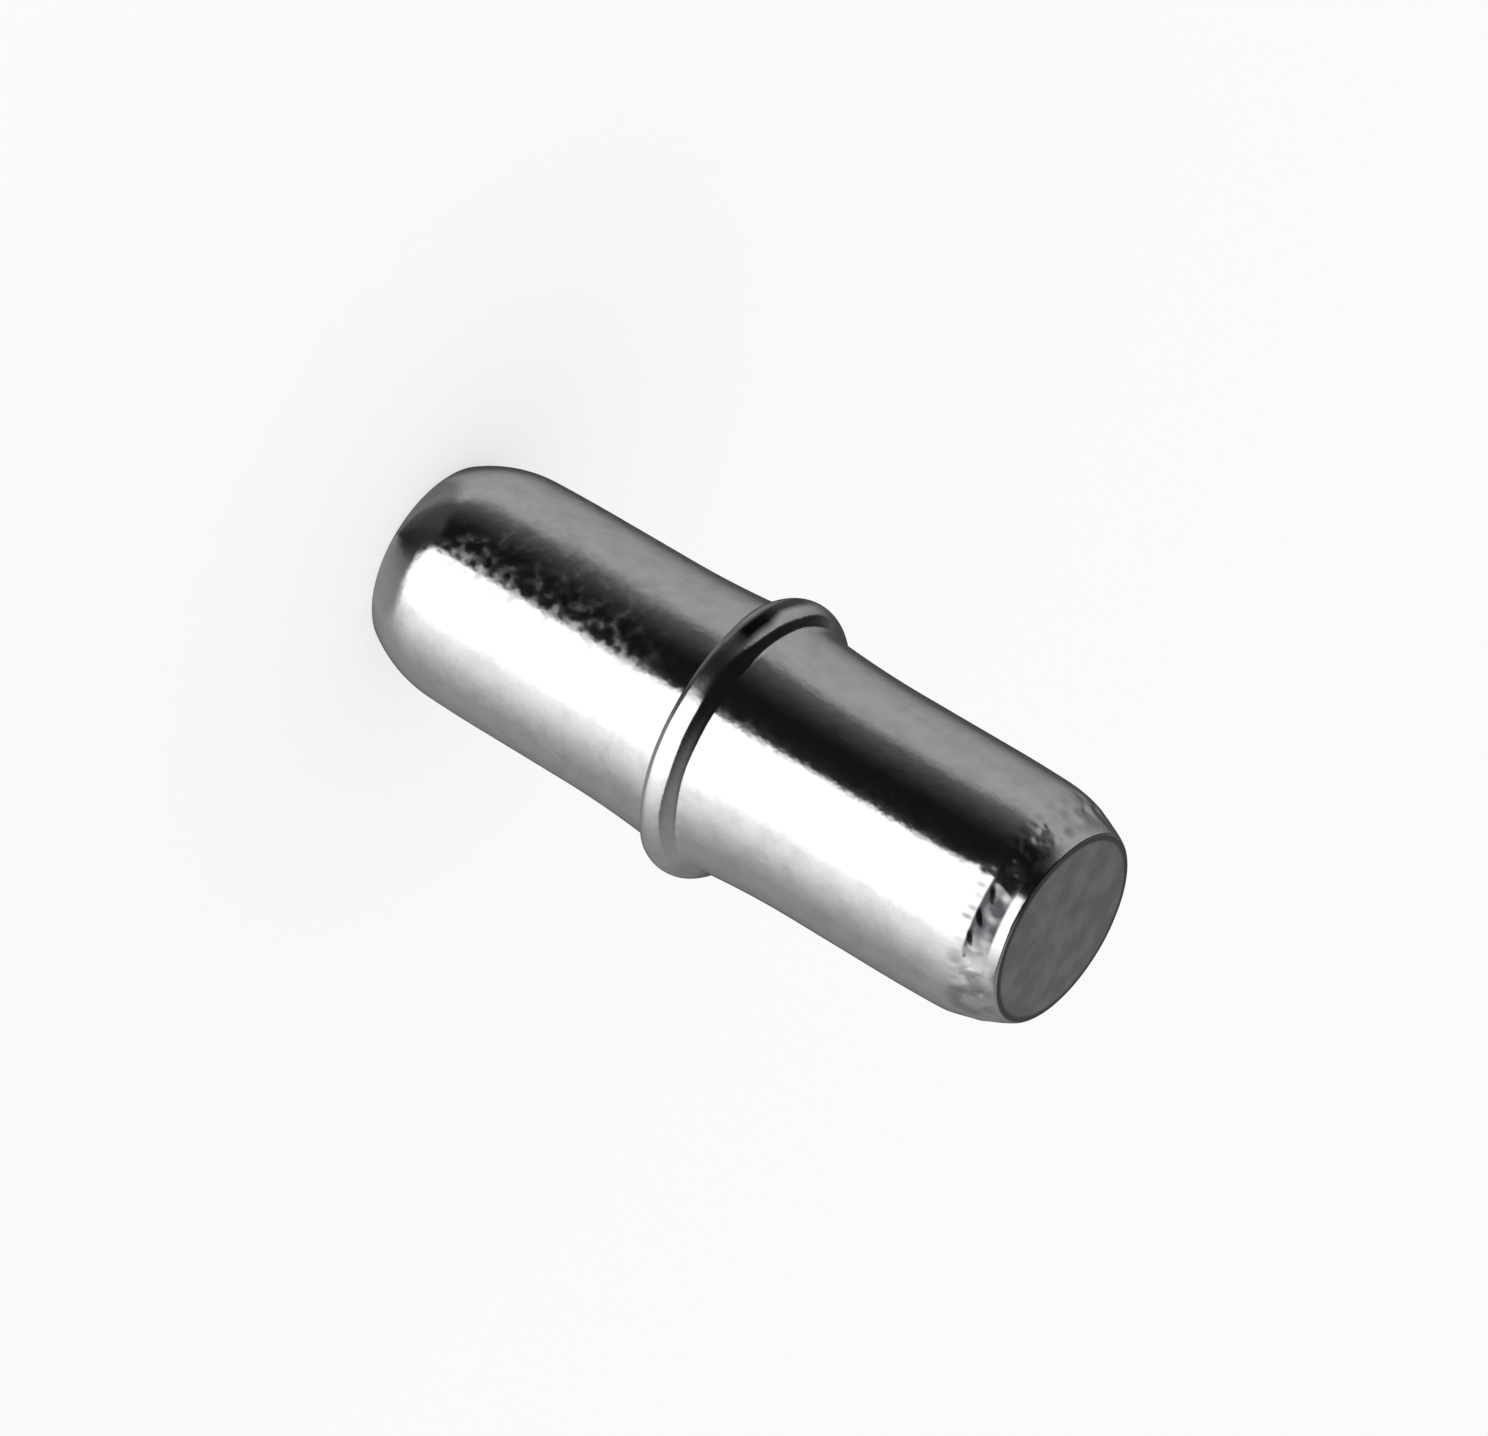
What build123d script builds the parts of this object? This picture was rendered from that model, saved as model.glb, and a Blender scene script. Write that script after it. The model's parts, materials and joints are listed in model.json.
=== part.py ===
"""Shelf support pin: a plated steel peg with a half-round bead collar between two equal shanks.

One shank goes into a row hole in a cabinet's side panel, up to the bead, and the shelf rests on the other.
The pin stands on its lower end face: the origin is the centre of that face, and +Z runs up the pin's axis.
All sizes are in millimetres.
"""
from build123d import *
from math import sin
import os

# The hole that the pin is made for, and how loosely its parallel lands sit in it
hole_diameter = 5.0
hole_clearance = 0.05

# The pin along its axis, the same on both sides of the collar
pin_length = 15.6
swell_length = 2.9      # from the collar's middle to where the shank turns parallel
lead_length = 1.4       # the slight narrowing between the parallel land and the nose
nose_length = 1.45      # the rounded end

# Radial steps
swell_rise = 0.18       # how far the shank would rise above its land at the collar's middle
lead_drop = 0.025       # how far the lead narrows
nose_drop = 0.45        # from the lead's end in to the rim of the flat end face
rim_round = 0.12        # the broken edge of the end face

# The bead collar
bead_height = 0.51      # crest above the land
bead_crown_radius = 0.45
bead_root_radius = 0.12

# The band of shallow dents round the upper nose, uneven as the blows that made them
dent_count = 40
dent_tilt = 22.0        # how far the nose's surface has turned in at the band's middle, in degrees
dent_depth = 0.013
dent_depth_spread = 0.006
dent_tilt_spread = 2.0
dent_spacing_spread = 0.25
dent_cutter_radius = 0.45

# Worked out from the sizes above
half_length = pin_length / 2
land_radius = (hole_diameter - hole_clearance) / 2
land_end = half_length - nose_length - lead_length
lead_radius = land_radius - lead_drop
face_radius = lead_radius - nose_drop
bead_radius = land_radius + bead_height

os.makedirs("parts", exist_ok=True)

# The section's plane: local X is the radius and local Y runs along the pin from the collar's middle
section_plane = Plane(origin=(0, 0, half_length), x_dir=(1, 0, 0), z_dir=(0, -1, 0))


def dent_plane(number: int, nose: Edge) -> Plane:
    """The plane of one dent's flat, sunk below the nose's surface and facing outwards."""
    turn = 360 / dent_count * (number + dent_spacing_spread * sin(2.1 * number))
    tilt = dent_tilt + dent_tilt_spread * sin(3.7 * number)
    depth = dent_depth + dent_depth_spread * sin(5.3 * number)
    outward = Vector(1, 0, 0).rotate(Axis.Y, -tilt).rotate(Axis.Z, turn)
    centre = Vector(nose.arc_center.X, 0, half_length + nose.arc_center.Y).rotate(Axis.Z, turn)
    return Plane(origin=centre + outward * (nose.radius - depth), z_dir=outward)


with BuildPart() as shelf_support_pin:
    with BuildSketch(section_plane) as section:
        # One shank's outline from the collar's middle to the end face, then its mirror image
        with BuildLine() as outline:
            land = Line((land_radius, swell_length), (land_radius, land_end))
            TangentArc(land @ 0, (land_radius + swell_rise, 0), tangent=(0, -1))
            lead = TangentArc(land @ 1, (lead_radius, land_end + lead_length), tangent=land % 1)
            nose = TangentArc(lead @ 1, (face_radius, half_length), tangent=lead % 1)
            Line(nose @ 1, (0, half_length))
            mirror(about=Plane.XZ)
            Line((0, half_length), (0, -half_length))
        make_face()
        rims = section.vertices().filter_by(
            lambda corner: abs(corner.Y) > half_length - nose_length / 2 and corner.X > face_radius / 2
        )
        fillet(rims, rim_round)
        # The bead's crown stands out of the swell, and its two roots are rounded in
        with Locations((bead_radius - bead_crown_radius, 0)):
            Circle(bead_crown_radius)
        roots = section.vertices().filter_by(
            lambda corner: abs(corner.Y) < bead_crown_radius and corner.X > land_radius
        )
        fillet(roots, bead_root_radius)
    revolve(axis=Axis.Z)
    # The dents are shallow flats, side by side round the upper nose
    for number in range(dent_count):
        with Locations(dent_plane(number, nose)):
            Cylinder(
                dent_cutter_radius,
                dent_cutter_radius,
                align=(Align.CENTER, Align.CENTER, Align.MIN),
                mode=Mode.SUBTRACT,
            )

shelf_support_pin.part.label = "shelf_support_pin"
export_step(shelf_support_pin.part, "parts/shelf_support_pin.step")
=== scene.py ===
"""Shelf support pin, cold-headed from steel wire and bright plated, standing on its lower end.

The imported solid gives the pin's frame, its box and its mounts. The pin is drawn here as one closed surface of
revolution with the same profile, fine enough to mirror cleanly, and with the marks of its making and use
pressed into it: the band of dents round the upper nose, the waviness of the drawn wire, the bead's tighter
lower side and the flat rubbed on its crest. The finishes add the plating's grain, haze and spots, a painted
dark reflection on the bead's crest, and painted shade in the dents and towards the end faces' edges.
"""

import json
import logging
import math
from dataclasses import dataclass
from enum import Enum
from functools import cached_property
from typing import Any

import bpy
import numpy as np
from mathutils import Matrix, Vector

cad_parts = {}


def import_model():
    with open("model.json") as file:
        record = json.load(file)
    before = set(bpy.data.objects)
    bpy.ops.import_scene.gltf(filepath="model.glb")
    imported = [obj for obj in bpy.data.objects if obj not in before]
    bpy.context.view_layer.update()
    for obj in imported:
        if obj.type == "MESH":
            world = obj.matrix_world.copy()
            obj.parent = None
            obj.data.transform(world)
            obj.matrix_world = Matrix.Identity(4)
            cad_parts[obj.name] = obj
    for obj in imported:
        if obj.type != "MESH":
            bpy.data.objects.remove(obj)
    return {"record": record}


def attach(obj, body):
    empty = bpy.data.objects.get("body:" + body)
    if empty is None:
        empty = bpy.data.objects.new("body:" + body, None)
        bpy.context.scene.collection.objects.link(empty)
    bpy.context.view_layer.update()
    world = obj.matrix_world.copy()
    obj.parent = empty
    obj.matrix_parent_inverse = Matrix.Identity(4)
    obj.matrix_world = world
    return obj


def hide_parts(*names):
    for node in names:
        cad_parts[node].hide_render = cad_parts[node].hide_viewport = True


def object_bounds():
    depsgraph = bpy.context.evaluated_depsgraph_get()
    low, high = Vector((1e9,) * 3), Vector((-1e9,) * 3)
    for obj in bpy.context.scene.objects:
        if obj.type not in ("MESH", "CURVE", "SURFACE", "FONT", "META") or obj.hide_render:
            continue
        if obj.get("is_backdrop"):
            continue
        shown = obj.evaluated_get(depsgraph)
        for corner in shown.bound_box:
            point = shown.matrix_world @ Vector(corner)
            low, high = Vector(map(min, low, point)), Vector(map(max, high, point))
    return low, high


LOG = logging.getLogger("shelf_support_pin")
MM = 0.001
NODE = "shelf_support_pin"
DENT_SHADE = "dent_shade"
PHOTO_WIDTH_PX = 1488
PHOTO_HEIGHT_PX = 1436
RIGHT_ANGLE_DEG = 90.0
BOX_DIGITS = 2
WHITE = (1.0, 1.0, 1.0, 1.0)
Pair = tuple[float, float]
Edges = tuple[float, float, float, float]
Ring = tuple[Pair, ...]
Socket = bpy.types.NodeSocket


def linear(hex_colour: str) -> tuple[float, float, float, float]:
    """Turns an sRGB colour into the linear values that a shader takes.

    Args:
        hex_colour: the colour as "#RRGGBB".

    Returns:
        Red, green, blue and an alpha of 1.
    """
    channels = [int(hex_colour[start:start + 2], 16) / 255 for start in (1, 3, 5)]
    steps = [c / 12.92 if c <= 0.04045 else ((c + 0.055) / 1.055) ** 2.4 for c in channels]
    return (steps[0], steps[1], steps[2], 1.0)


def smooth_step(low: float, high: float, value: np.ndarray) -> np.ndarray:
    """Rises from 0 at low to 1 at high as 3t² - 2t³, with t the share of the way between them."""
    share = np.clip((value - low) / (high - low), 0.0, 1.0)
    return share * share * (3 - 2 * share)


def between(edges: Edges, value: np.ndarray) -> np.ndarray:
    """Rises from 0 to 1 between the first two edges, and falls to 0 again between the last two."""
    return smooth_step(*edges[:2], value) * (1 - smooth_step(*edges[2:], value))


def plateau(middle: float, spread: float, value: np.ndarray) -> np.ndarray:
    """Stands at 1 round the middle and falls to 0 on both sides, as exp(-((value - middle) / spread)⁴)."""
    return np.exp(-((value - middle) / spread) ** 4)


@dataclass(frozen=True)
class NodeGraph:
    """The node tree of a material or of the world, with the kinds of node that this script puts into it.

    Its place is the place on the pin, or, in the world, the direction in which a ray leaves.
    """

    tree: bpy.types.NodeTree
    coordinates: str = "Object"

    @cached_property
    def place(self) -> Socket:
        """The place, in the tree's own coordinates."""
        return self.add("ShaderNodeTexCoord", "place").outputs[self.coordinates]

    @cached_property
    def axes(self) -> list[Socket]:
        """The place taken apart into x, y and z."""
        return list(self.add("ShaderNodeSeparateXYZ", "place by axes", None, {0: self.place}).outputs)

    def add(self, kind: str, label: str, settings: dict[str, Any] | None = None,
            inputs: dict[Any, Any] | None = None) -> bpy.types.Node:
        """Adds a node, sets its properties, and fills or links its inputs.

        Args:
            kind: Blender's name for the kind of node.
            label: what the node does, in plain words.
            settings: property names with their values.
            inputs: input names or numbers, each with a value or with the output that feeds it.

        Returns:
            The new node.
        """
        node = self.tree.nodes.new(kind)
        node.name = node.label = label
        for name, value in (settings or {}).items():
            setattr(node, name, value)
        for key, value in (inputs or {}).items():
            if isinstance(value, Socket):
                self.tree.links.new(value, node.inputs[key])
            else:
                node.inputs[key].default_value = value
        return node

    def maths(self, label: str, operation: str, *values: Any) -> Socket:
        """Works something out from values or outputs, by Blender's name for the operation."""
        node = self.add("ShaderNodeMath", label, {"operation": operation}, dict(enumerate(values)))
        return node.outputs[0]

    def slope(self, label: str, value: Socket, low: float, high: float, first: float = 0.0,
              last: float = 1.0, form: str = "SMOOTHSTEP") -> Socket:
        """Goes over from the first level to the last as the value goes from low to high."""
        return self.add("ShaderNodeMapRange", label, {"interpolation_type": form}, {
            0: value, 1: low, 2: high, 3: first, 4: last}).outputs[0]

    def blend(self, label: str, share: Socket, first: Any, last: Any) -> Socket:
        """Mixes two colours, all of the first at share 0 and all of the last at share 1."""
        return self.add("ShaderNodeMix", label, {"data_type": "RGBA"}, {
            0: share, 6: first, 7: last}).outputs[2]

    def noise(self, label: str, size_mm: float, detail: float, roughness: float = 0.5) -> Socket:
        """Adds uneven clouds.

        Args:
            label: what they stand for.
            size_mm: about how large they are.
            detail: how many layers of finer clouds lie over them.
            roughness: how strong each finer layer is.

        Returns:
            Their level, from 0 to 1.
        """
        return self.add("ShaderNodeTexNoise", label, {"noise_dimensions": "3D"}, {
            "Vector": self.place, "Scale": 1 / (size_mm * MM), "Detail": detail,
            "Roughness": roughness}).outputs[0]

    def bump(self, label: str, height: Socket, height_mm: float, **before: Socket) -> Socket:
        """Bends the normal, or the one given as Normal, as a relief that is height_mm high at 1 would."""
        return self.add("ShaderNodeBump", label, None, {
            "Height": height, "Distance": height_mm * MM, "Strength": 1.0, **before}).outputs[0]

    def off_axis(self) -> Socket:
        """Measures how far the place lies from the pin's axis.

        Returns:
            The distance in metres.
        """
        across = self.add("ShaderNodeCombineXYZ", "place across the pin", None, {
            0: self.axes[0], 1: self.axes[1]})
        return self.add("ShaderNodeVectorMath", "distance from the axis", {"operation": "LENGTH"}, {
            0: across.outputs[0]}).outputs["Value"]

    def turn(self) -> Socket:
        """Measures the angle round the pin in radians, 0 on the camera's side and growing towards +X."""
        ahead = self.maths("towards the camera's side", "MULTIPLY", self.axes[1], -1.0)
        return self.maths("angle round the pin", "ARCTAN2", self.axes[0], ahead)

    def mirrored(self) -> Socket:
        """Tells whether a ray comes off the metal.

        Returns:
            1 for a mirrored or transmitted ray, and 0 for any other.
        """
        ray = self.add("ShaderNodeLightPath", "kind of ray")
        return self.maths("mirrored or seen through", "MAXIMUM", ray.outputs["Is Glossy Ray"],
                          ray.outputs["Is Transmission Ray"])

    def ring(self, label: str, share: Socket, levels: Ring) -> Socket:
        """Adds a ring of levels round the pin.

        Args:
            label: what the ring shows.
            share: the angle round the pin, as a share of a turn.
            levels: angles in degrees from -180 to 180, each with its level.

        Returns:
            The ring's level at that angle.
        """
        ramp = self.add("ShaderNodeValToRGB", label, None, {0: share})
        stops = [((angle + 180) / 360, level) for angle, level in levels] + [(1.0, levels[0][1])]
        there = len(ramp.color_ramp.elements)
        for number, (position, level) in enumerate(sorted(stops)):
            elements = ramp.color_ramp.elements
            element = elements[number] if number < there else elements.new(position)
            element.position = position
            element.color = (level, level, level, 1.0)
        return ramp.outputs[0]


def new_material(name: str) -> tuple[bpy.types.Material, NodeGraph]:
    """Makes a material without nodes.

    Args:
        name: the material's name.

    Returns:
        The material, and its node tree.
    """
    made = bpy.data.materials.new(name)
    made.use_nodes = True
    made.node_tree.nodes.clear()
    return made, NodeGraph(made.node_tree)


class Surface(Enum):
    """Which finish a face of the pin carries, by its material slot."""

    BARREL = 0
    END = 1


@dataclass(frozen=True)
class BrightPlating:
    """Bright zinc plate over cold-headed steel, put on in a barrel. It mirrors its surroundings.

    Its grain breaks up the edge of every reflection a little, a thin haze mottles the grey ones, and the dull
    spots of the lower shank pick light out of the dark ones. The bead's crest is rubbed duller by the
    tumbling and carries one painted dark reflection, and painted shade darkens the plate, which is also duller
    there, where the nose is dented.
    """

    colour: str = "#E6E6E7"
    haze_colour: str = "#D8D8DA"
    # Painted shade in the dents
    dent_shade_colour: str = "#4C4C50"
    # Painted dark reflection on the bead's crest
    dark_reflection_colour: str = "#161618"
    roughness: float = 0.10
    rubbed_roughness: float = 0.10
    rubbed_from_mm: Pair = (2.84, 2.95)
    haze_mm: float = 0.45
    haze_levels: Pair = (0.36, 0.74)
    swell_mm: float = 0.42
    swell_height_mm: float = 0.003
    grain_mm: float = 0.16
    grain_height_mm: float = 0.0026
    spot_mm: float = 0.22
    spot_levels: Pair = (0.32, 0.80)
    spot_roughness: float = 0.21
    spotted_mm: Edges = (1.0, 1.8, 5.4, 7.4)
    least_spotted: float = 0.15
    # Painted dark reflection: where it lies on the bead's crest, how wide and how dark
    dark_reflection_height_mm: Pair = (7.815, 7.885)
    dark_reflection_width_mm: Pair = (0.21, 0.29)
    dark_reflection_core: float = 0.25
    dark_reflection_share: float = 0.92
    dark_reflection_deg: Edges = (-84.0, -70.0, -37.0, -25.0)
    dark_reflection_turn_deg: Pair = (-56.0, -47.0)
    dent_shade_roughness: float = 0.20

    def material(self) -> bpy.types.Material:
        """Builds the finish.

        Returns:
            The material, on Object coordinates and on the dented band's measure of its painted shade.
        """
        made, nodes = new_material("bright_zinc_plated_steel")
        # Painted shade in the dents, read from the mesh; the plate there is also duller
        mark = nodes.add("ShaderNodeAttribute", "how bruised", {"attribute_name": DENT_SHADE}).outputs["Fac"]
        haze = nodes.noise("haze", self.haze_mm, detail=3.0, roughness=0.6)
        cloud = nodes.slope("how hazy", haze, *self.haze_levels)
        hazy = nodes.blend("plate and haze", cloud, linear(self.colour), linear(self.haze_colour))
        dent_shaded = nodes.blend("and painted dent shade", mark, hazy, linear(self.dent_shade_colour))
        # Painted dark reflection on the bead's crest
        with_dark_reflection = nodes.blend("and the stain", self.dark_reflection(nodes), dent_shaded, linear(self.dark_reflection_colour))
        dull = nodes.maths("duller under the painted dent shade", "MULTIPLY_ADD", mark, self.dent_shade_roughness,
                           self.dullness(nodes))
        mottle = nodes.noise("soft mottling", self.swell_mm, detail=0.0)
        mottled = nodes.bump("mottling relief", mottle, self.swell_height_mm)
        grain = nodes.noise("plating grain", self.grain_mm, detail=1.0)
        relief = nodes.bump("grain relief", grain, self.grain_height_mm, Normal=mottled)
        shader = nodes.add("ShaderNodeBsdfPrincipled", "plated steel", None, {
            "Base Color": with_dark_reflection, "Metallic": 1.0, "Roughness": dull, "Normal": relief})
        nodes.add("ShaderNodeOutputMaterial", "surface", None, {"Surface": shader.outputs[0]})
        return made

    def dullness(self, nodes: NodeGraph) -> Socket:
        """Adds the rubbed crest and the dull spots of the lower shank.

        Args:
            nodes: the material's nodes.

        Returns:
            The roughness.
        """
        inner, outer = (radius * MM for radius in self.rubbed_from_mm)
        rubbed = nodes.slope("rubbed on the bead's crest", nodes.off_axis(), inner, outer, self.roughness,
                             self.roughness + self.rubbed_roughness)
        spots = nodes.noise("dull spots", self.spot_mm, detail=1.0, roughness=0.35)
        dull = nodes.slope("how dull", spots, *self.spot_levels, 0.0, self.spot_roughness)
        first, full, fading, last = (height * MM for height in self.spotted_mm)
        above = nodes.slope("above the lower nose", nodes.axes[2], first, full, self.least_spotted)
        below = nodes.slope("and below the bead", nodes.axes[2], fading, last, 1.0, self.least_spotted)
        where = nodes.maths("mostly on the lower shank", "MULTIPLY", above, below)
        return nodes.maths("roughness", "MULTIPLY_ADD", dull, where, rubbed)

    def dark_reflection(self, nodes: NodeGraph) -> Socket:
        """Adds the painted dark reflection along the bead's crest: a thin line that thickens into a spot.

        Args:
            nodes: the material's nodes.

        Returns:
            How much of the painted dark reflection shows.
        """
        turn = nodes.turn()
        first, full, fading, last = (math.radians(angle) for angle in self.dark_reflection_deg)
        rise = nodes.slope("stain's beginning", turn, first, full)
        fall = nodes.slope("stain's end", turn, fading, last, 1.0, 0.0)
        length = nodes.maths("along the crest", "MULTIPLY", rise, fall)
        thin, thick = (math.radians(angle) for angle in self.dark_reflection_turn_deg)
        share = nodes.slope("thin line to dark spot", turn, thin, thick, self.dark_reflection_share, 1.0, "LINEAR")
        strength = nodes.maths("how dark", "MULTIPLY", length, share)
        low, high = (height * MM for height in self.dark_reflection_height_mm)
        middle = nodes.slope("stain's line", turn, thin, thick, low, high, "LINEAR")
        narrow, broad = (width * MM for width in self.dark_reflection_width_mm)
        wide = nodes.slope("how wide", turn, thin, thick, narrow, broad, "LINEAR")
        apart = nodes.maths("off the stain's line", "SUBTRACT", nodes.axes[2], middle)
        size = nodes.maths("distance off it", "ABSOLUTE", apart)
        ratio = nodes.maths("as a share of its width", "DIVIDE", size, wide)
        width = nodes.slope("across the crest", ratio, self.dark_reflection_core, 1.0, 1.0, 0.0)
        return nodes.maths("dark_reflection", "MULTIPLY", strength, width)


@dataclass(frozen=True)
class PressedEnd:
    """The flat end, pressed between the header's punches.

    It has the same plate over a matt, finely grained face, faintly clouded, with painted shade where it breaks
    down to the edge.
    """

    colour: str = "#D0D0D1"
    cloud_colour: str = "#B6B6B8"
    cloud_mm: float = 0.55
    cloud_levels: Pair = (0.32, 0.68)
    # Painted shade towards the face's edge
    rim_shade_colour: str = "#7A7A7E"
    rim_mm: Pair = (1.83, 1.91)
    roughness: float = 0.20
    grain_mm: float = 0.22
    grain_height_mm: float = 0.0045

    def material(self) -> bpy.types.Material:
        """Builds the finish.

        Returns:
            The material, on Object coordinates.
        """
        made, nodes = new_material("pressed_end_plated_steel")
        grain = nodes.noise("pressed grain", self.grain_mm, detail=3.0, roughness=0.6)
        relief = nodes.bump("grain relief", grain, self.grain_height_mm)
        # Painted shade: the face darkens towards its edge
        inner, outer = (radius * MM for radius in self.rim_mm)
        rim = nodes.slope("near the edge", nodes.off_axis(), inner, outer)
        clouds = nodes.noise("clouds", self.cloud_mm, detail=2.0)
        cloud = nodes.slope("how clouded", clouds, *self.cloud_levels)
        face = nodes.blend("plate and clouds", cloud, linear(self.colour), linear(self.cloud_colour))
        tone = nodes.blend("face and edge", rim, face, linear(self.rim_shade_colour))
        shader = nodes.add("ShaderNodeBsdfPrincipled", "plated end", None, {
            "Base Color": tone, "Metallic": 1.0, "Roughness": self.roughness, "Normal": relief})
        nodes.add("ShaderNodeOutputMaterial", "surface", None, {"Surface": shader.outputs[0]})
        return made


def spokes(first: float, last: float, steps: int) -> np.ndarray:
    """Unit vectors, as (along, radius), that lean from the radius by first to last in even steps.

    Args:
        first: the first one's lean towards the pin's end, in radians.
        last: the last one's.
        steps: how many steps lie between them.

    Returns:
        The vectors, one more than the steps.
    """
    angles = first + (last - first) * np.arange(steps + 1) / steps
    return np.stack([np.sin(angles), np.cos(angles)], axis=1)


def tangent_arc(start: np.ndarray, heading: np.ndarray, end: np.ndarray, steps: int) -> np.ndarray:
    """Points along the arc that leaves start in a given direction and reaches end.

    The centre lies on the normal at start, as far out as makes both points equally distant from it:
    radius = |chord|² / (2 · chord · normal).

    Args:
        start: the first point, as (along, radius).
        heading: the direction at start, of length 1.
        end: the last point.
        steps: how many points follow start.

    Returns:
        The points after start, with end as the last.
    """
    chord = end - start
    normal = np.array([-heading[1], heading[0]])
    radius = chord @ chord / (2 * chord @ normal)
    centre = start + normal * radius
    first = math.atan2(start[1] - centre[1], start[0] - centre[0])
    last = math.atan2(end[1] - centre[1], end[0] - centre[0])
    turn = (last - first + math.pi) % (2 * math.pi) - math.pi
    angles = first + turn * np.arange(1, steps + 1) / steps
    return centre + abs(radius) * np.stack([np.cos(angles), np.sin(angles)], axis=1)


@dataclass(frozen=True)
class BeadSide:
    """One side of the bead in section: the crown's arc, a straight flank and the fillet at its root."""

    crown_radius: float
    flank_deg: float
    root_radius: float


@dataclass(frozen=True)
class PinProfile:
    """The pin's outline on one side of the bead's middle, in millimetres.

    The other side mirrors it, but for the bead, whose lower side the header pressed tighter on one side of
    the pin than on the other.
    """

    half_length: float
    land_radius: float
    bead_radius: float
    upper_side: BeadSide = BeadSide(0.45, 54.0, 0.20)
    lower_side: BeadSide = BeadSide(0.45, 66.0, 0.12)
    pressed_side: BeadSide = BeadSide(0.24, 80.0, 0.05)
    swell_length: float = 2.9
    swell_rise: float = 0.18
    lead_length: float = 1.4
    lead_drop: float = 0.025
    nose_length: float = 1.45
    nose_drop: float = 0.45
    rim_round: float = 0.08
    edge_width: float = 0.12
    edge_fall_deg: float = 6.0
    crown_steps: int = 12
    flank_steps: int = 3
    root_steps: int = 8
    swell_steps: int = 9
    land_steps: int = 5
    lead_steps: int = 6
    rim_steps: int = 7
    edge_steps: int = 6

    def bead(self, side: BeadSide) -> np.ndarray:
        """Draws one side of the bead and the swell beyond it.

        The crown is an arc about a point on the bead's middle line. The flank leaves it along its tangent,
        and runs just so far that the root's fillet touches both the flank and the swell from outside: its
        centre is root_radius off the flank's line, and swell - root_radius from the swell's centre.

        Args:
            side: the bead's section on this side.

        Returns:
            Points as (along, radius), from the crest to where the shank turns parallel.
        """
        swell = (self.swell_length ** 2 + self.swell_rise ** 2) / (2 * self.swell_rise)
        swell_centre = np.array([self.swell_length, self.land_radius + swell])
        crown = np.array([0.0, self.bead_radius - side.crown_radius])
        lean = math.radians(side.flank_deg)
        outward = np.array([math.sin(lean), math.cos(lean)])
        heading = np.array([math.cos(lean), -math.sin(lean)])
        start = crown + (side.crown_radius + side.root_radius) * outward
        offset = start - swell_centre
        along = offset @ heading
        run = -along + math.sqrt(along ** 2 - offset @ offset + (swell - side.root_radius) ** 2)
        root = start + run * heading
        crest = crown + side.crown_radius * spokes(0.0, lean, self.crown_steps)
        foot = math.atan2(swell_centre[0] - root[0], swell_centre[1] - root[1])
        fillet = root - side.root_radius * spokes(lean, foot, self.root_steps)
        flank = np.linspace(crest[-1], fillet[0], self.flank_steps + 1)[1:-1]
        rise = swell_centre - swell * spokes(foot, 0.0, self.swell_steps)[1:]
        return np.concatenate([crest, flank, fillet, rise])

    def half(self, side: BeadSide, nose_steps: int) -> np.ndarray:
        """Works out the outline from the bead's crest to the middle of the end face.

        Args:
            side: the bead's section on this side.
            nose_steps: how many points the nose's arc gets.

        Returns:
            Points as (along, radius), from the crest outwards.
        """
        land_end = self.half_length - self.nose_length - self.lead_length
        land = np.linspace((self.swell_length, self.land_radius), (land_end, self.land_radius),
                           self.land_steps + 1)[1:]
        nose_start = np.array([self.half_length - self.nose_length, self.land_radius - self.lead_drop])
        lead = tangent_arc(land[-1], np.array([1.0, 0.0]), nose_start, self.lead_steps)
        slope = 2 * math.atan2(self.lead_drop, self.lead_length)
        corner = np.array([self.half_length, nose_start[1] - self.nose_drop])
        nose, rim, face = self.nose(nose_start, slope, corner, nose_steps)
        return np.concatenate([self.bead(side), land, lead, nose, rim, face])

    def nose(self, start: np.ndarray, slope: float, corner: np.ndarray,
             steps: int) -> tuple[np.ndarray, np.ndarray, np.ndarray]:
        """Draws the nose's arc, the small round that breaks the end face's edge, and the face.

        The face falls away towards its edge as the square of the distance from where the fall begins, and
        the round carries that slope on into the nose's arc, with its centre rim_round inside both.

        Args:
            start: where the nose's arc begins.
            slope: how far the outline has turned in there, in radians.
            corner: where the nose's arc would meet the end face.
            steps: how many points the nose's arc gets.

        Returns:
            The arc's points after start, the round's, and the face's.
        """
        chord = corner - start
        inward = np.array([-math.sin(slope), -math.cos(slope)])
        radius = chord @ chord / (2 * chord @ inward)
        centre = start + inward * radius
        fall = math.radians(self.edge_fall_deg)
        drop = self.edge_width * math.tan(fall) / 2
        reach = self.half_length - drop - self.rim_round * math.cos(fall) - centre[0]
        turned = math.asin(reach / (radius - self.rim_round))
        arc = centre + radius * spokes(slope, turned, steps)[1:]
        middle = centre + (radius - self.rim_round) * np.array([math.sin(turned), math.cos(turned)])
        rim = middle + self.rim_round * spokes(turned, math.pi / 2 - fall, self.rim_steps)[1:]
        share = np.linspace(1.0, 0.0, self.edge_steps + 1)[1:]
        edge = np.stack([self.half_length - drop * share ** 2,
                         rim[-1, 1] - self.edge_width * (1 - share)], axis=1)
        face = np.concatenate([edge, np.array([[self.half_length, edge[-1, 1] / 2]])])
        return arc, rim, face


@dataclass(frozen=True)
class Places:
    """Points on the nose: millimetres along the pin, radians round it, and the source of their marks."""

    height: np.ndarray
    turn: np.ndarray
    rng: np.random.Generator


@dataclass(frozen=True)
class Marks:
    """A crowd of round marks: how many to a dent, how large and deep, and how much deeper far off."""

    per_dent: int
    size_mm: float
    depth_mm: float
    far: float = 1.0


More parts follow.
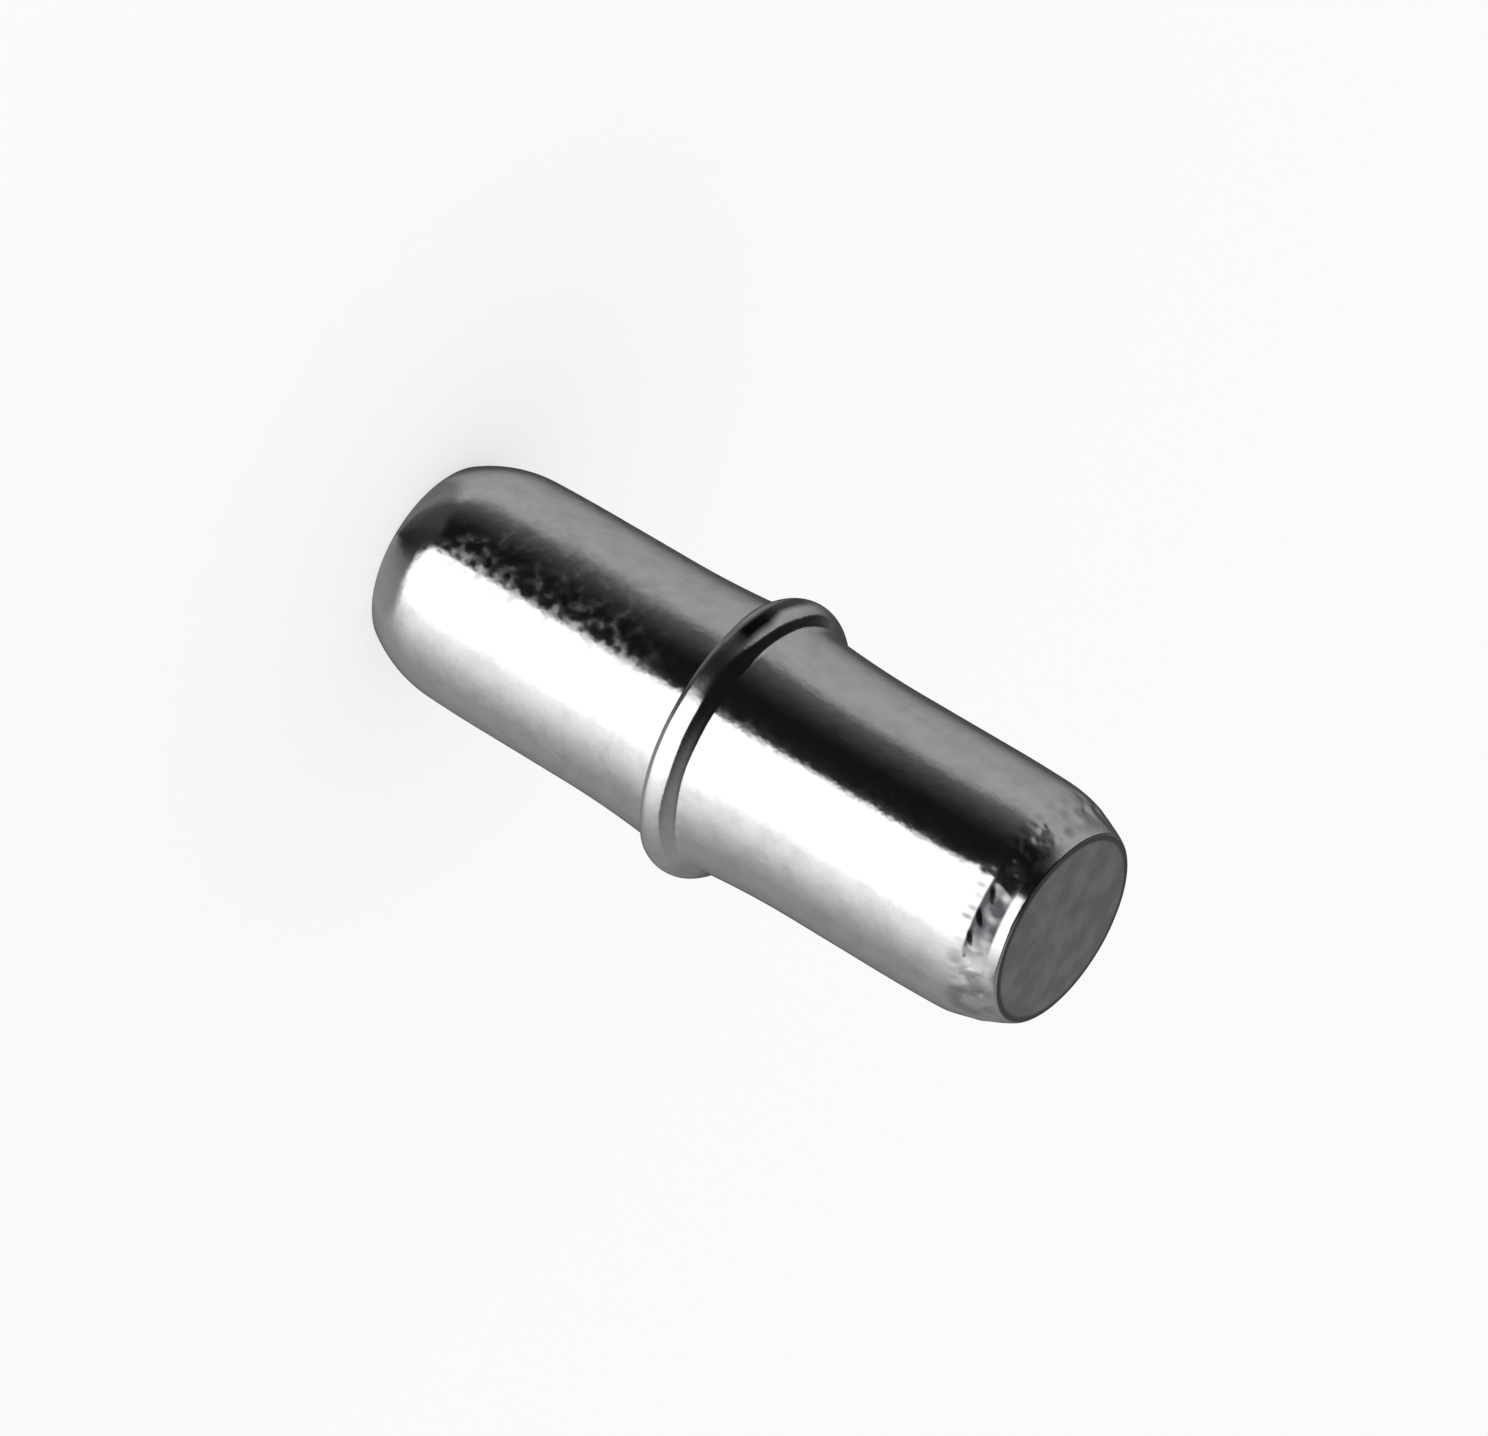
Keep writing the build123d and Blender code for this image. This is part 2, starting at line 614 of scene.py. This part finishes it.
@dataclass(frozen=True)
class DentedBand:
    """The band of slanting dents that the header's fingers pressed round the upper nose.

    Each has a steep wall on its lower side and a floor that comes up slowly beyond it. One finger gouged
    deeper than the others, and one nicked the shank. Fine crumples lie in the band, and short scores and
    shallow hollows beside it. On the side of the first dents painted shade darkens the whole band, more in the
    crumples and scores and less on each dent's floor. On the other sides the dents are shallower, the crumples
    and hollows deeper, and the plate is darkened in soft patches at random.
    """

    count: int = 30
    girth_radius_mm: float = 2.27
    band_mm: Edges = (7.07, 7.14, 7.55, 7.61)
    near_deg: Pair = (11.0, 26.4)
    at_mm: float = 7.27
    first_deg: float = 2.0
    slant_deg: float = 23.0
    long_mm: float = 0.36
    wall_mm: float = 0.15
    floor_mm: float = 0.27
    depth_mm: float = 0.062
    far_dents: float = 0.35
    jitter_mm: Pair = (0.025, 0.02)
    jitter_deg: float = 7.0
    long_range: Pair = (0.85, 1.15)
    depth_range: Pair = (0.7, 1.15)
    floor_range: Pair = (0.85, 1.2)
    unshaded_spot_at_mm: Pair = (-0.02, 0.17)
    unshaded_spot_mm: float = 0.075
    unshaded_spot_range: Pair = (0.3, 1.0)
    gouge_deg: tuple[float, float, float] = (-26.0, -11.0, 3.0)
    gouge_band_mm: Edges = (7.04, 7.22, 7.46, 7.61)
    gouge_mm: float = 0.052
    gouge_flattens: float = 0.6
    nick_deg: float = -7.5
    nick_at_mm: float = 6.93
    nick_size_mm: float = 0.22
    nick_depth_mm: float = 0.008
    mark_sizes: Pair = (0.7, 1.3)
    mark_depths: Pair = (0.3, 1.0)
    crumples: Marks = Marks(7, 0.09, 0.005, far=1.7)
    hollows: Marks = Marks(2, 0.32, 0.011, far=1.49)
    hollows_below_mm: float = 0.3
    hollows_fade_mm: Pair = (7.55, 7.73)
    scores_per_dent: int = 2
    score_at_mm: float = 7.03
    score_length_mm: float = 0.16
    score_width_mm: float = 0.07
    score_depth_mm: float = 0.003
    score_jitter: float = 0.15
    score_jitter_mm: float = 0.03
    score_depths: Pair = (0.5, 1.2)
    # Painted shade of the dents: where it covers the whole band, how dark its parts are, and its soft patches
    dent_shade_deg: Pair = (11.0, 24.0)
    uneven: Pair = (0.90, 0.16)
    uneven_waves: tuple[tuple[float, float, float], ...] = ((9.0, 9.0, 1.0), (21.0, -13.0, 0.0))
    edge_mm: float = 0.05
    edge_shade: float = 0.25
    unshaded_spot_share: float = 0.5
    crumple_shade: float = 30.0
    score_shade: float = 0.6
    patches: Marks = Marks(6, 0.27, 1.0)
    patch_band_mm: Edges = (6.75, 7.05, 7.55, 7.85)
    patch_from: float = 0.25
    patch_gain: float = 1.4
    patch_level: float = 0.42
    seed: int = 11

    @property
    def girth_mm(self) -> float:
        """The way round the pin at the band."""
        return 2 * math.pi * self.girth_radius_mm

    def height(self, along: np.ndarray, angle: np.ndarray) -> tuple[np.ndarray, np.ndarray]:
        """How high the surface stands over the smooth nose: less the dents, hollows, crumples and scores.

        Args:
            along: distance from the pin's middle towards its upper end, in millimetres, a grid.
            angle: angle round the axis from the first dent's side, in radians, a grid.

        Returns:
            The heights in millimetres, and how much painted shade darkens the surface, from 0 to 1, both grids.
        """
        rise, dent_shade = np.zeros(along.shape), np.zeros(along.shape)
        hollows_from = self.band_mm[0] - self.hollows_below_mm
        lowest = hollows_from - self.mark_sizes[1] * self.hollows.size_mm
        near = (along > lowest) & (along < self.patch_band_mm[3])
        at = Places(along[near], angle[near], np.random.default_rng(self.seed))
        dents, rubbed = self.dents(at)
        crumples = self.crowd(at, self.crumples, self.band_mm[0], self.band_mm[3])
        hollows = self.crowd(at, self.hollows, hollows_from, self.band_mm[3])
        scores = self.scores(at)
        band = between(self.band_mm, at.height)
        far = 1 - plateau(*np.radians(self.near_deg), at.turn)
        gouge = self.gouge(at.turn) * between(self.gouge_band_mm, at.height)
        dents *= (1 + (self.far_dents - 1) * far) * (1 - self.gouge_flattens * gouge / self.gouge_mm)
        hollows *= (1 + (self.hollows.far - 1) * far) * (1 - smooth_step(*self.hollows_fade_mm, at.height))
        crumpled = crumples * (1 + (self.crumples.far - 1) * far) * band
        rise[near] = -(np.maximum(gouge, dents) + self.nick(at) + hollows + crumpled + scores * (1 - band))
        # Painted shade in the dents: over the whole band on the first dents' side, deeper in crumples and
        # scores, lifted on each floor; soft dark patches at random elsewhere
        heavy = plateau(*np.radians(self.dent_shade_deg), at.turn)
        body = self.body(at) * (1 - self.unshaded_spot_share * rubbed) + self.crumple_shade * crumples
        shade_in_scores = self.score_shade * scores / self.score_depth_mm
        patches = self.patch_level * (1 - heavy) * self.soft_patches(at)
        dent_shade[near] = np.clip(np.maximum(heavy * np.maximum(body * band, shade_in_scores), patches), 0.0, 1.0)
        return rise, dent_shade

    def body(self, at: Places) -> np.ndarray:
        """Paints shade over the whole band: a level with slow waves in it, and a darker line along the lower
        edge.

        Args:
            at: the points.

        Returns:
            How bruised the plate is, about 1.
        """
        level, waves = self.uneven
        for round_it, along_it, phase in self.uneven_waves:
            waves = waves * np.cos(round_it * at.turn + along_it * at.height + phase)
        edge = np.exp(-((at.height - self.band_mm[1]) / self.edge_mm) ** 2)
        return level + waves + self.edge_shade * edge

    def soft_patches(self, at: Places) -> np.ndarray:
        """Spreads soft dark patches at random: a smooth band times what a crowd of small marks adds up to over
        a level.

        Args:
            at: the points.

        Returns:
            How bruised the plate is, from 0 to 1.
        """
        crowd = self.crowd(at, self.patches, self.patch_band_mm[0], self.patch_band_mm[3])
        patches = np.clip(self.patch_gain * (crowd - self.patch_from), 0.0, 1.0)
        return between(self.patch_band_mm, at.height) * patches

    def gouge(self, turn: np.ndarray) -> np.ndarray:
        """Presses the deeper gouge: deep · cos² of the way from its middle to either end.

        Args:
            turn: angles round the pin, a list of points.

        Returns:
            The depths in millimetres.
        """
        first, middle, last = np.radians(self.gouge_deg)
        way = np.where(turn < middle, (turn - middle) / (middle - first), (turn - middle) / (last - middle))
        return self.gouge_mm * np.cos(np.clip(way, -1.0, 1.0) * math.pi / 2) ** 2

    def nick(self, at: Places) -> np.ndarray:
        """Presses the nick below the band: deep · (1 - (distance / size)²)².

        Args:
            at: the points.

        Returns:
            The depths in millimetres.
        """
        x = np.radians([self.nick_deg]) * self.girth_radius_mm
        u, v = self.offsets(at, x, np.array([self.nick_at_mm]))
        share = ((u * u + v * v) / self.nick_size_mm ** 2)[:, 0]
        return self.nick_depth_mm * np.clip(1 - share, 0.0, None) ** 2

    def dents(self, at: Places) -> tuple[np.ndarray, np.ndarray]:
        """Presses the slanting dents.

        With c along a dent's slant and w across it, its depth is deep · cos²(c) over its length, times a
        wall that falls from w = -wall to 0 as a smooth step and a floor that rises from 0 to w = floor. The
        painted shade is lifted in a round spot, exp(-(distance / size)²), on each floor.

        Args:
            at: the points.

        Returns:
            The depths in millimetres, and how much of the painted shade is lifted off the floors, from 0 to 1.
        """
        count, rng = self.count, at.rng
        first = math.radians(self.first_deg) * self.girth_radius_mm
        x = np.arange(count) / count * self.girth_mm + first + rng.normal(0, self.jitter_mm[0], count)
        y = self.at_mm + rng.normal(0, self.jitter_mm[1], count)
        lean = np.radians(self.slant_deg + rng.normal(0, self.jitter_deg, count))
        long = self.long_mm * rng.uniform(*self.long_range, count)
        deep = self.depth_mm * rng.uniform(*self.depth_range, count)
        floor = self.floor_mm * rng.uniform(*self.floor_range, count)
        u, v = self.offsets(at, x, y)
        c = np.clip((u * np.cos(lean) + v * np.sin(lean)) / long, -1.0, 1.0)
        w = v * np.cos(lean) - u * np.sin(lean)
        across = np.where(w < 0, smooth_step(-self.wall_mm, 0.0, w), np.clip(1 - w / floor, 0.0, 1.0))
        depths = deep * np.cos(c * math.pi / 2) ** 2 * across
        # Round spot on each floor where the painted shade is lifted
        apart = (u - self.unshaded_spot_at_mm[0]) ** 2 + (v - self.unshaded_spot_at_mm[1]) ** 2
        rubbed = np.exp(-apart / self.unshaded_spot_mm ** 2) * rng.uniform(*self.unshaded_spot_range, count)
        return depths.max(axis=1), rubbed.max(axis=1)

    def crowd(self, at: Places, marks: Marks, low: float, high: float) -> np.ndarray:
        """Presses round marks at random over a band: depth · (1 - (distance / size)²)², added up.

        Args:
            at: the points.
            marks: the crowd.
            low: the band's lower edge along the pin.
            high: its upper edge.

        Returns:
            The depths in millimetres.
        """
        many = marks.per_dent * self.count
        x = at.rng.uniform(0, self.girth_mm, many)
        y = at.rng.uniform(low, high, many)
        u, v = self.offsets(at, x, y)
        share = (u * u + v * v) / (marks.size_mm * at.rng.uniform(*self.mark_sizes, many)) ** 2
        deep = marks.depth_mm * at.rng.uniform(*self.mark_depths, many)
        return (deep * np.clip(1 - share, 0.0, None) ** 2).sum(axis=1)

    def scores(self, at: Places) -> np.ndarray:
        """Presses the short scores: depth · (1 - (round / width)² - (along / length)²).

        Args:
            at: the points.

        Returns:
            The depths in millimetres.
        """
        many = self.scores_per_dent * self.count
        x = (np.arange(many) + at.rng.normal(0, self.score_jitter, many)) / many * self.girth_mm
        y = self.score_at_mm + at.rng.normal(0, self.score_jitter_mm, many)
        u, v = self.offsets(at, x, y)
        shape = 1 - (u / self.score_width_mm) ** 2 - (v / self.score_length_mm) ** 2
        deep = self.score_depth_mm * at.rng.uniform(*self.score_depths, many)
        return (deep * np.clip(shape, 0.0, None)).max(axis=1)

    def offsets(self, at: Places, x: np.ndarray, y: np.ndarray) -> tuple[np.ndarray, np.ndarray]:
        """Measures from each point to each mark, round the pin and along it.

        Args:
            at: the points.
            x: the marks' places round the pin, in millimetres.
            y: the marks' places along it.

        Returns:
            The ways round and the ways along, points by marks.
        """
        half = self.girth_mm / 2
        u = (at.turn[:, None] * self.girth_radius_mm - x + half) % self.girth_mm - half
        return u, at.height[:, None] - y


@dataclass(frozen=True)
class DrawnWaves:
    """The slight waviness of drawn and headed wire, which bends every reflection a little."""

    height_mm: float = 0.0009
    count: int = 14
    turns: tuple[int, int] = (4, 15)
    waves_per_mm: Pair = (0.6, 3.4)
    seed: int = 5

    def height(self, along: np.ndarray, angle: np.ndarray) -> np.ndarray:
        """How high the waves stand: a sum of cosines of whole turns round the pin and uneven lengths along.

        Args:
            along: distance from the pin's middle, in millimetres.
            angle: angle round the axis, in radians.

        Returns:
            The heights in millimetres, with the shape of along.
        """
        rng = np.random.default_rng(self.seed)
        turns = rng.integers(*self.turns, self.count)
        waves = rng.uniform(*self.waves_per_mm, self.count)
        phases = rng.uniform(0, 2 * math.pi, self.count)
        shape = np.cos(turns * angle[..., None] + waves * along[..., None] + phases)
        return self.height_mm * shape.mean(axis=-1) * math.sqrt(self.count)


@dataclass(frozen=True)
class RubbedCrest:
    """The flat that handling has rubbed on one side of the bead's crest."""

    depth_mm: float = 0.045
    reach_mm: Pair = (0.10, 0.42)
    turn_deg: Edges = (-30.0, 4.0, 35.0, 110.0)

    def depth(self, along: np.ndarray, angle: np.ndarray) -> np.ndarray:
        """How deep the flat lies: smooth steps up and down round the pin, times a smooth fall off the crest.

        Args:
            along: distance from the bead's middle, in millimetres.
            angle: angle round the axis from the first dent's side, in radians.

        Returns:
            The depths in millimetres, with the shape of along.
        """
        turn = (np.degrees(angle) + 180) % 360 - 180
        return self.depth_mm * between(self.turn_deg, turn) * (1 - smooth_step(*self.reach_mm, np.abs(along)))


@dataclass
class SupportPin:
    """The pin: two equal shanks, the bead between them, rounded noses and flat ends."""

    profile: PinProfile
    middle_mm: float
    columns: int = 440
    upper_nose_steps: int = 86
    lower_nose_steps: int = 16
    waves_from_mm: Pair = (1.6, 1.9)
    face_radius_mm: float = 1.98
    face_depth_mm: float = 0.03
    pressed_deg: Edges = (-62.0, -18.0, 50.0, 88.0)
    barrel: BrightPlating = BrightPlating()
    end: PressedEnd = PressedEnd()
    band: DentedBand = DentedBand()
    crest: RubbedCrest = RubbedCrest()
    waves: DrawnWaves = DrawnWaves()

    def outline(self, lower_side: BeadSide) -> np.ndarray:
        """Joins the two halves of the outline.

        Args:
            lower_side: the bead's section on its lower side.

        Returns:
            Points as (along, radius), from the upper end to the lower one.
        """
        upper = self.profile.half(self.profile.upper_side, self.upper_nose_steps)[::-1]
        lower = self.profile.half(lower_side, self.lower_nose_steps)[1:]
        return np.concatenate([upper, lower * np.array([-1.0, 1.0])])

    def surface(self) -> tuple[np.ndarray, np.ndarray, np.ndarray]:
        """Spins the outline about the pin's axis, and moves each point along its normal.

        A point is ((r + n h) cos a, (r + n h) sin a, z + m h): s runs down the outline (z, r)(s) from the
        upper end to the lower one, a runs round the axis, (m, n) is the outline's normal, and h(s, a) is the
        height of the waves and of the dented band less the depth of the rubbed crest. The outline itself
        turns smoothly with a from the full bead to the pressed one and back.

        Returns:
            The grid of points, rows by columns by 3, in millimetres, which rows lie in the end faces, and
            how much painted shade darkens each point.
        """
        full = self.outline(self.profile.lower_side)
        pressed = self.outline(self.profile.pressed_side)
        angle = np.linspace(0, 2 * math.pi, self.columns, endpoint=False)[None, :]
        # Degrees from -Y, the camera's side
        side = (np.degrees(angle) + 270) % 360 - 180
        share = between(self.pressed_deg, side)
        along = full[:, 0:1] + share * (pressed[:, 0:1] - full[:, 0:1])
        radius = full[:, 1:2] + share * (pressed[:, 1:2] - full[:, 1:2])
        heading = np.stack([np.gradient(along, axis=0), np.gradient(radius, axis=0)])
        heading /= np.hypot(heading[0], heading[1])
        turned = np.radians(side) + 0 * along
        rise = smooth_step(*self.waves_from_mm, radius) * self.waves.height(along, turned)
        rise -= self.crest.depth(along, turned)
        # The dented band's heights, and its painted shade
        marks, dent_shade = self.band.height(along, turned)
        rise += marks
        radius = radius - heading[0] * rise
        height = along + heading[1] * rise + self.middle_mm
        lowest = self.profile.half_length - self.face_depth_mm
        flat = (np.abs(full[:, 0]) > lowest) & (full[:, 1] < self.face_radius_mm)
        return np.stack([radius * np.cos(angle), radius * np.sin(angle), height], axis=2), flat, dent_shade

    def build(self) -> bpy.types.Object:
        """Makes the closed mesh, with a point at the middle of each end.

        Returns:
            The pin's object, at the origin.
        """
        points, flat, dent_shade = self.surface()
        rows, columns, _ = points.shape
        number = np.arange(rows * columns).reshape(rows, columns)
        turned = np.roll(number, -1, axis=1)
        quads = np.stack([number[:-1], number[1:], turned[1:], turned[:-1]], axis=2).reshape(-1, 4)
        top, bottom = rows * columns, rows * columns + 1
        upper_fan = np.stack([np.full(columns, top), number[0], turned[0]], axis=1)
        lower_fan = np.stack([np.full(columns, bottom), turned[-1], number[-1]], axis=1)
        tips = np.array([[0.0, 0.0, points[0, 0, 2]], [0.0, 0.0, points[-1, 0, 2]]])
        vertices = np.concatenate([points.reshape(-1, 3), tips]) * MM
        faces = quads.tolist() + upper_fan.tolist() + lower_fan.tolist()
        mesh = bpy.data.meshes.new("plated_pin")
        mesh.from_pydata(vertices.tolist(), [], faces)
        mesh.materials.append(self.barrel.material())
        mesh.materials.append(self.end.material())
        ends = np.concatenate([np.repeat(flat[:-1] & flat[1:], columns), np.ones(2 * columns, dtype=bool)])
        mesh.polygons.foreach_set("material_index", np.where(ends, Surface.END.value, Surface.BARREL.value))
        mesh.shade_smooth()
        mesh.validate()
        # The dented band's painted shade, for the material
        mark = mesh.attributes.new(DENT_SHADE, "FLOAT", "POINT")
        mark.data.foreach_set("value", np.concatenate([dent_shade.ravel(), np.zeros(len(tips))]))
        pin = bpy.data.objects.new("plated_pin", mesh)
        bpy.context.scene.collection.objects.link(pin)
        return pin


@dataclass(frozen=True)
class Studio:
    """A white floor under soft, even light, and the surroundings that the metal mirrors.

    A soft white panel stands on one side of the pin, with black cloth beside it and over it, grey walls
    beyond and a small grey card behind. Each ring goes round the pin in degrees from the camera's side. The
    foot and the head are shares of a right angle, below and above the pin's level, and the others are levels
    of light.
    """

    floor_colour: str = "#F4F4F4"
    floor_radius_mm: float = 400.0
    floor_sides: int = 96
    floor_white: float = 0.6
    blur_deg: float = 4.0
    zenith_deg: Pair = (76.0, 86.0)
    zenith_level: float = 0.03
    card_rise_deg: float = 26.7
    card_spread_deg: Pair = (11.0, 15.0)
    card_level: float = 0.2
    walls: Ring = (
        (-180, 0.05), (-162, 0.07), (-150, 0.10), (-142, 0.20), (-132, 0.30), (-118, 0.36), (-87, 0.40),
        (-76, 0.36), (-66, 0.11), (-55, 0.055), (-45, 0.022), (-36, 0.008), (-8.5, 0.008), (-3.5, 1.6),
        (50, 1.6), (60, 1.12), (66, 1.0), (76, 0.82), (87, 0.60), (100, 0.42), (114, 0.31), (135, 0.28),
        (160, 0.2), (172, 0.06))
    cloth: Ring = (
        (-180, 0.02), (-170, 0.04), (-160, 0.14), (-155, 0.13), (-150, 0.07), (-144, 0.035), (-138, 0.02),
        (-130, 0.014), (-100, 0.010), (-60, 0.008), (0, 0.010), (22, 0.02), (35, 0.035), (55, 0.075),
        (75, 0.12), (90, 0.17), (114, 0.24), (145, 0.27), (165, 0.12))
    shade: Ring = (
        (-180, 0.10), (-135, 0.16), (-102, 0.18), (-92, 0.20), (-84, 0.185), (-78, 0.155), (-72, 0.105),
        (-65, 0.075), (-46, 0.06), (-35, 0.055), (-20, 0.03), (4, 0.02), (16, 0.055), (32, 0.15), (56, 0.22),
        (90, 0.27), (135, 0.30), (165, 0.20), (175, 0.10))
    foot: Ring = (
        (-180, 0.62), (-60, 0.58), (-12, 0.50), (-4, 0.55), (8, 0.605), (36, 0.615), (74, 0.565), (100, 0.55))
    head: Ring = (
        (-180, 0.06), (-145, 0.08), (-136, 0.18), (-130, 0.29), (-114, 0.40), (-106, 0.47), (-90, 0.52),
        (-75, 0.48), (-60, 0.42), (-10, 0.43), (25, 0.43), (45, 0.45), (62, 0.45), (78, 0.30), (92, 0.22),
        (115, 0.22), (150, 0.15))

    def surroundings(self) -> bpy.types.World:
        """Builds the world: white to the camera and to the floor, the studio's walls to the metal.

        Returns:
            The world.
        """
        world = bpy.data.worlds.new("studio")
        bpy.context.scene.world = world
        world.use_nodes = True
        world.cycles.sampling_method = "NONE"
        world.node_tree.nodes.clear()
        nodes = NodeGraph(world.node_tree, "Generated")
        plain = nodes.blend("only the metal sees the walls", nodes.mirrored(), WHITE, self.room(nodes))
        light = nodes.add("ShaderNodeBackground", "studio light", None, {"Color": plain, "Strength": 1.0})
        nodes.add("ShaderNodeOutputWorld", "world", None, {"Surface": light.outputs[0]})
        return world

    def room(self, nodes: NodeGraph) -> Socket:
        """Puts up the panel, the walls, the cloth and the card.

        Args:
            nodes: the world's nodes.

        Returns:
            The level that the metal sees in a ray's direction.
        """
        share = nodes.slope("angle as a share of a turn", nodes.turn(), -math.pi, math.pi, form="LINEAR")
        arc = nodes.maths("angle above the level", "ARCSINE", nodes.axes[2])
        rise = nodes.maths("in degrees", "DEGREES", arc)
        walls = nodes.ring("panel, cloth and walls", share, self.walls)
        cloth = nodes.ring("cloth over the pin", share, self.cloth)
        shade = nodes.ring("shade under the panel", share, self.shade)
        foot = nodes.ring("how low the panel reaches", share, self.foot)
        head = nodes.ring("how high the panel and walls reach", share, self.head)
        depth = nodes.maths("degrees over the panel's foot", "MULTIPLY_ADD", foot, RIGHT_ANGLE_DEG, rise)
        past = nodes.maths("degrees over the panel's head", "MULTIPLY_ADD", head, -RIGHT_ANGLE_DEG, rise)
        over_foot = nodes.slope("over the foot", depth, -self.blur_deg, self.blur_deg)
        over_head = nodes.slope("over the panel", past, -self.blur_deg, self.blur_deg)
        low = nodes.blend("walls and shade", over_foot, shade, walls)
        high = nodes.blend("and cloth", over_head, low, cloth)
        zenith = nodes.slope("straight up", rise, *self.zenith_deg)
        top = nodes.blend("and its top", zenith, high, (self.zenith_level,) * 3 + (1.0,))
        up = math.radians(self.card_rise_deg)
        facing = nodes.add("ShaderNodeVectorMath", "towards the card behind", {"operation": "DOT_PRODUCT"}, {
            0: nodes.place, 1: (0.0, math.cos(up), math.sin(up))})
        near, far = (math.cos(math.radians(angle)) for angle in self.card_spread_deg)
        card = nodes.slope("card behind", facing.outputs["Value"], far, near)
        return nodes.blend("and the card", card, top, (self.card_level,) * 3 + (1.0,))

    def floor(self) -> bpy.types.Object:
        """Lays the floor: a pale disc that shades diffusely, so it keeps the pin's shadow.

        Returns:
            The floor's object.
        """
        angles = np.linspace(0, 2 * math.pi, self.floor_sides, endpoint=False)
        rim = np.stack([np.cos(angles), np.sin(angles), 0 * angles], axis=1) * self.floor_radius_mm * MM
        mesh = bpy.data.meshes.new("floor")
        mesh.from_pydata(rim.tolist(), [], [list(range(len(rim)))])
        made, nodes = new_material("pale_floor")
        ray = nodes.add("ShaderNodeLightPath", "kind of ray")
        paper = nodes.add("ShaderNodeBsdfDiffuse", "pale paper", None, {"Color": linear(self.floor_colour)})
        glow = nodes.add("ShaderNodeEmission", "white to the camera", None, {"Color": WHITE, "Strength": 1.0})
        shown = nodes.maths("share of white", "MULTIPLY", ray.outputs["Is Camera Ray"], self.floor_white)
        seen = nodes.add("ShaderNodeMixShader", "paper and white", None, {
            0: shown, 1: paper.outputs[0], 2: glow.outputs[0]})
        clear = nodes.add("ShaderNodeBsdfTransparent", "clear to the metal")
        out = nodes.add("ShaderNodeMixShader", "the metal mirrors the studio", None, {
            0: nodes.mirrored(), 1: seen.outputs[0], 2: clear.outputs[0]})
        nodes.add("ShaderNodeOutputMaterial", "surface", None, {"Surface": out.outputs[0]})
        mesh.materials.append(made)
        floor = bpy.data.objects.new("floor", mesh)
        bpy.context.scene.collection.objects.link(floor)
        floor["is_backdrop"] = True
        return floor


@dataclass(frozen=True)
class PhotoCamera:
    """The photograph's camera, found by fitting the pin's outline to the picture."""

    distance_mm: float = 142.0
    elevation_deg: float = 26.67
    axis_below_level_deg: float = 30.77
    px_per_mm: float = 52.03
    middle_px: Pair = (743.2, 738.9)
    sensor_mm: float = 36.0
    clip_mm: float = 10.0

    def place(self, middle: Vector) -> bpy.types.Object:
        """Makes the camera and sets it as the scene's.

        Args:
            middle: the middle of the pin, in metres.

        Returns:
            The camera's object.
        """
        rise = math.radians(self.elevation_deg)
        back = Vector((0.0, -math.cos(rise), math.sin(rise)))
        upward = Vector((0.0, math.sin(rise), math.cos(rise)))
        sideways = Vector((1.0, 0.0, 0.0))
        lean = math.radians(self.axis_below_level_deg)
        right = math.cos(lean) * upward - math.sin(lean) * sideways
        up = -math.sin(lean) * upward - math.cos(lean) * sideways
        across = (PHOTO_WIDTH_PX / 2 - self.middle_px[0]) / self.px_per_mm * MM
        down = (PHOTO_HEIGHT_PX / 2 - self.middle_px[1]) / self.px_per_mm * MM
        spot = middle + back * self.distance_mm * MM
        aim = middle + right * across - up * down
        back = (spot - aim).normalized()
        right = up.cross(back).normalized()
        up = back.cross(right)
        camera = bpy.data.objects.new("camera", bpy.data.cameras.new("camera"))
        camera.matrix_world = Matrix.Translation(spot) @ Matrix((right, up, back)).transposed().to_4x4()
        camera.data.sensor_width = self.sensor_mm
        camera.data.lens = self.sensor_mm * self.px_per_mm * self.distance_mm / PHOTO_WIDTH_PX
        camera.data.clip_start = self.clip_mm * MM
        bpy.context.scene.collection.objects.link(camera)
        bpy.context.scene.camera = camera
        return camera


def main(frame: dict[str, Any]) -> None:
    """Builds the pin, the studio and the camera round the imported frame.
    """
    low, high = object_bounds()
    mounts = {mount["name"]: mount for mount in frame["record"]["mounts"]}
    half_length = (high.z - low.z) / 2 / MM
    bead_radius = round(high.x / MM, BOX_DIGITS)
    profile = PinProfile(half_length, mounts["upper_shank"]["dims"]["r_mm"], bead_radius)
    pin = SupportPin(profile, middle_mm=(high.z + low.z) / 2 / MM).build()
    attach(pin, "root")
    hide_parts(NODE)
    LOG.info("pin: %d faces", len(pin.data.polygons))
    studio = Studio()
    studio.surroundings()
    studio.floor()
    LOG.info("studio: floor and surroundings")
    PhotoCamera().place((low + high) / 2)
    scene = bpy.context.scene
    scene.view_settings.view_transform = "Standard"
    LOG.info("size written")


if __name__ == "__main__":
    logging.basicConfig(level=logging.INFO)
    main(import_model())
